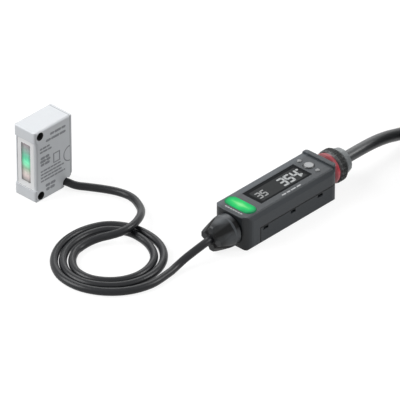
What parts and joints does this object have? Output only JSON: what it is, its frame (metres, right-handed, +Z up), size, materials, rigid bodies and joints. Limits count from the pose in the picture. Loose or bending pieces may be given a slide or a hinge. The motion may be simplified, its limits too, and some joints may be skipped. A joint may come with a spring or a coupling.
{
  "type": "laser photoelectric sensor",
  "caption": "Small laser photoelectric sensor head on a looped cable with an in-line amplifier, display, indicator bar and round screw-on plug with a coiled output lead.",
  "frame": {"origin": "on the floor, under the middle of the head and the amplifier taken together", "axes": "+X along the amplifier towards its plug; the head looks towards -X; +Z up"},
  "size_m": [0.2033, 0.1463, 0.0298],
  "materials": {
    "head_steel": "satin, bead-blasted",
    "cover_plastic": "satin",
    "window_pane": "clear, dark behind",
    "seal_rubber": "matte",
    "inner_plastic": "matte",
    "lens_glass": "clear",
    "guide_plastic": "clear",
    "board_green": "solder mask",
    "chip_black": "matte",
    "led_green": "clear",
    "diode_can": "gold plated",
    "amplifier_plastic": "satin, fine texture",
    "amplifier_lower": "satin, fine texture",
    "gland_plastic": "satin",
    "indicator_plastic": "clear green",
    "display_glass": "polished",
    "button_plastic": "satin",
    "key_plastic": "satin",
    "plated_brass": "nickel plated",
    "gold_contact": "gold plated",
    "red_plastic": "satin",
    "nut_plastic": "satin",
    "plug_plastic": "satin",
    "sensor_sheath": "satin",
    "output_sheath": "satin",
    "wire_sheath": "satin",
    "tie_strap": "matte"
  },
  "bodies": {
    "sensor": {"head_case": "head_steel", "front_cover": "cover_plastic", "front_window": "window_pane", "window_gasket": "seal_rubber", "lens_holder": "inner_plastic", "laser_lens": "lens_glass", "receiver_lens": "lens_glass", "light_guide": "guide_plastic", "laser_diode": "diode_can", "receiver_chip": "chip_black", "status_led": "led_green", "head_board": "board_green", "rear_cover": "head_steel", "cable_boot": "seal_rubber", "sensor_cable": "sensor_sheath", "upper_case": "amplifier_plastic", "lower_case": "amplifier_lower", "end_cap": "amplifier_plastic", "gland_nut": "gland_plastic", "gland_seal": "seal_rubber", "indicator_lens": "indicator_plastic", "indicator_leds": "led_green", "display_window": "display_glass", "display_module": "chip_black", "display_board": "board_green", "main_board": "board_green", "board_link": "inner_plastic", "set_switch": "inner_plastic", "key_switches": "inner_plastic", "socket_shell": "plated_brass", "socket_nut": "plated_brass", "socket_insert": "inner_plastic", "contact_pins": "gold_contact", "red_ring": "red_plastic", "plug_body": "plug_plastic", "plug_insert": "inner_plastic", "plug_contacts": "gold_contact", "plug_seal": "seal_rubber", "output_cable": "output_sheath", "output_coil": "output_sheath", "cable_tail": "output_sheath", "lead_wires": "wire_sheath", "coil_ties": "tie_strap"},
    "set_button": {"set_button": "button_plastic"},
    "up_key": {"up_key": "key_plastic"},
    "down_key": {"down_key": "key_plastic"},
    "coupling_nut": {"coupling_nut": "nut_plastic"}
  },
  "joints": [
    {"name": "set_button_press", "type": "slide", "parent": "sensor", "child": "set_button", "axis": [0, 0, -1], "range_m": [0, 0.0003], "stiffness_N_per_m": 120},
    {"name": "up_key_press", "type": "slide", "parent": "sensor", "child": "up_key", "axis": [0, 0, -1], "range_m": [0, 0.0003], "stiffness_N_per_m": 120},
    {"name": "down_key_press", "type": "slide", "parent": "sensor", "child": "down_key", "axis": [0, 0, -1], "range_m": [0, 0.0003], "stiffness_N_per_m": 120},
    {"name": "coupling_nut_turn", "type": "hinge", "parent": "sensor", "child": "coupling_nut", "pos_m": [0.0418, -0.03595, 0.008], "axis": [1, 0, 0], "continuous": true}
  ]
}
